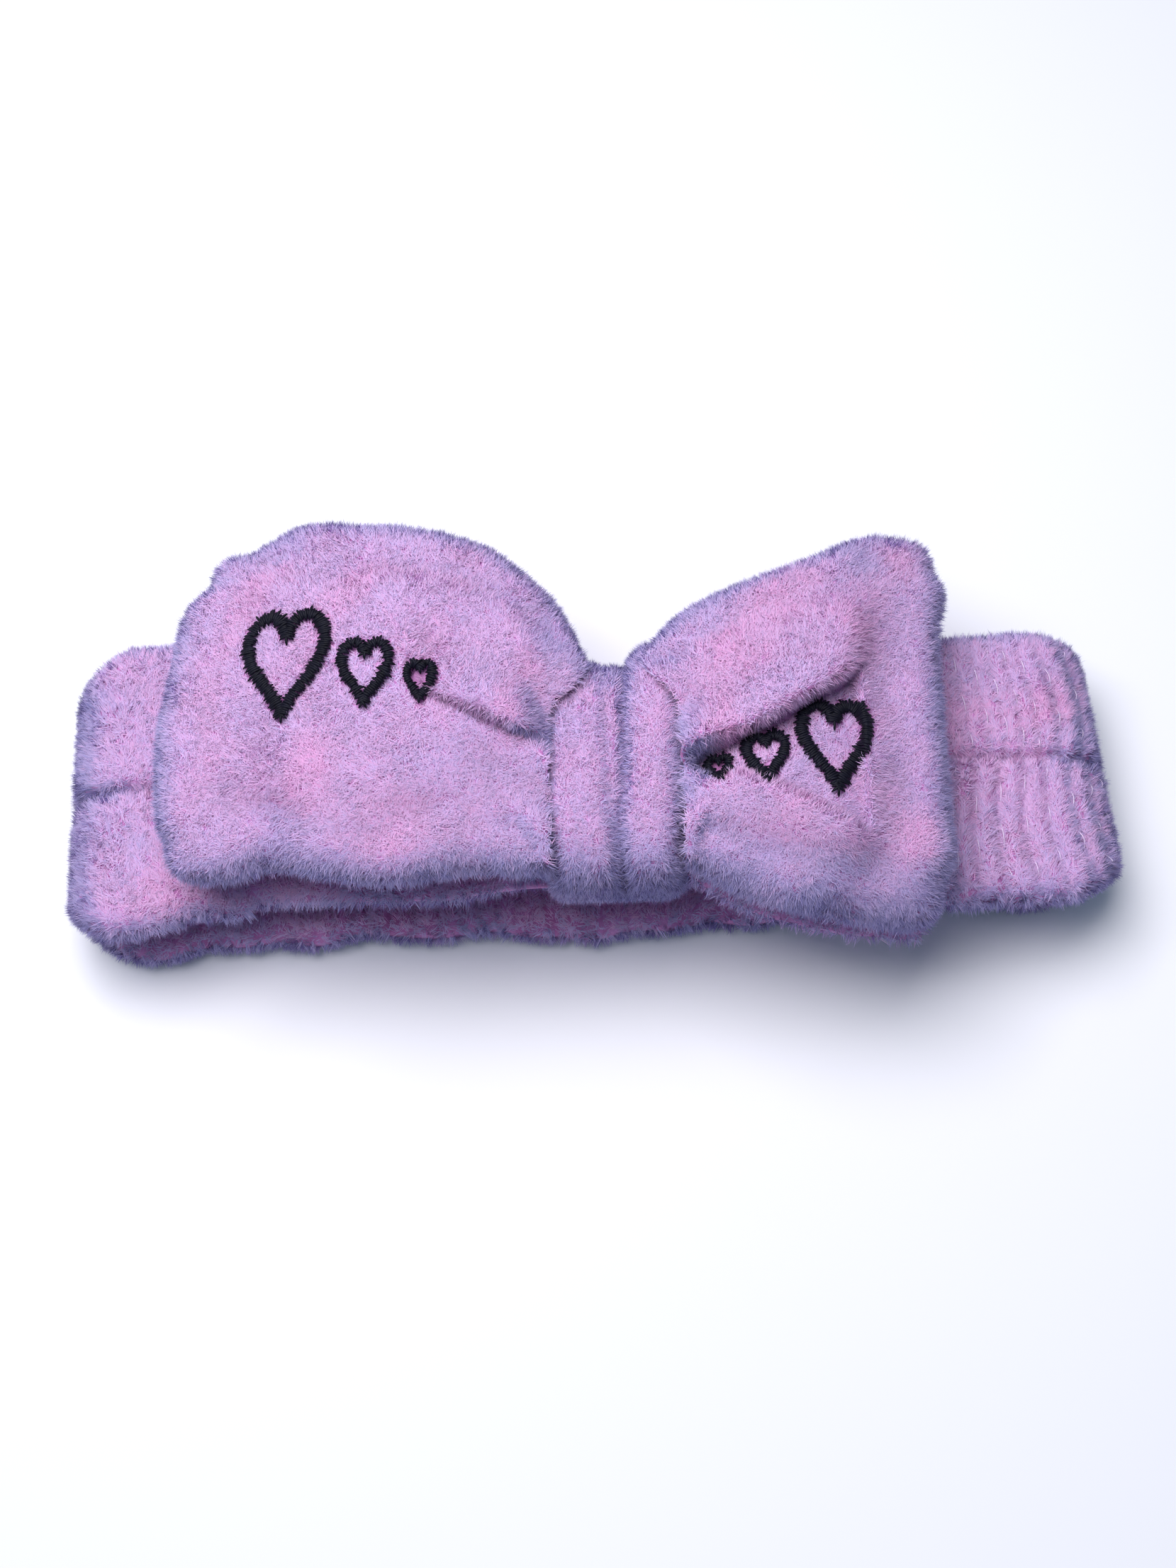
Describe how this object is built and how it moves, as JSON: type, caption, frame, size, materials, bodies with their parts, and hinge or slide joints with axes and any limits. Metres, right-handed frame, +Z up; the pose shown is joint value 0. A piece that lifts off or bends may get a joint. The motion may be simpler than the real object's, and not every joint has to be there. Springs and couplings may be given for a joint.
{
  "type": "spa headband with bow",
  "caption": "Stretchy plush headband with a gathered elastic back and a large padded bow held by a wrapped knot.",
  "frame": {"origin": "where the middle of the back band rests on the table", "axes": "+X along the flattened band, +Y across its height, +Z up out of the bow's face"},
  "size_m": [0.24, 0.09, 0.0665],
  "materials": {
    "fleece": "lilac-pink coral fleece with a short dense pile",
    "elastic": "white woven elastic",
    "wadding": "white polyester wadding",
    "pink_thread": "pink sewing thread",
    "black_thread": "black satin-stitch embroidery thread"
  },
  "bodies": {
    "back_band": {"back_band_outer": "fleece", "back_band_lining": "fleece", "upper_elastic": "elastic", "lower_elastic": "elastic", "channel_stitching": "pink_thread"},
    "front_band": {"front_band_outer": "fleece", "front_band_lining": "fleece", "front_band_wadding": "wadding", "left_elastic_anchor": "pink_thread", "right_elastic_anchor": "pink_thread", "left_join_seam": "pink_thread", "right_join_seam": "pink_thread", "knot_wrap": "fleece", "knot_closing_seam": "pink_thread", "bow_waist": "fleece", "waist_binding": "pink_thread", "bow_tack": "pink_thread"},
    "left_loop": {"left_loop_front_face": "fleece", "left_loop_front_reverse": "fleece", "left_loop_back_reverse": "fleece", "left_loop_back_face": "fleece", "left_loop_edge_seam": "pink_thread", "left_motif_heart_large": "black_thread", "left_motif_heart_medium": "black_thread", "left_motif_heart_small": "black_thread"},
    "right_loop": {"right_loop_front_face": "fleece", "right_loop_front_reverse": "fleece", "right_loop_back_reverse": "fleece", "right_loop_back_face": "fleece", "right_loop_edge_seam": "pink_thread", "right_motif_heart_large": "black_thread", "right_motif_heart_medium": "black_thread", "right_motif_heart_small": "black_thread"}
  },
  "joints": [
    {"name": "ring_open", "type": "slide", "parent": "back_band", "child": "front_band", "axis": [0, 0, 1], "range_m": [0, 0.07], "stiffness_N_per_m": 12, "deforming": ["back_band_outer", "back_band_lining", "upper_elastic", "lower_elastic", "channel_stitching"]},
    {"name": "left_loop_lift", "type": "hinge", "parent": "front_band", "child": "left_loop", "pos_m": [-0.0104, -0.01, 0.0581], "axis": [0, 1, 0], "range_deg": [0, 50], "stiffness_Nm_per_rad": 0.02},
    {"name": "right_loop_lift", "type": "hinge", "parent": "front_band", "child": "right_loop", "pos_m": [0.0204, -0.01, 0.0581], "axis": [0, -1, 0], "range_deg": [0, 50], "stiffness_Nm_per_rad": 0.02}
  ]
}
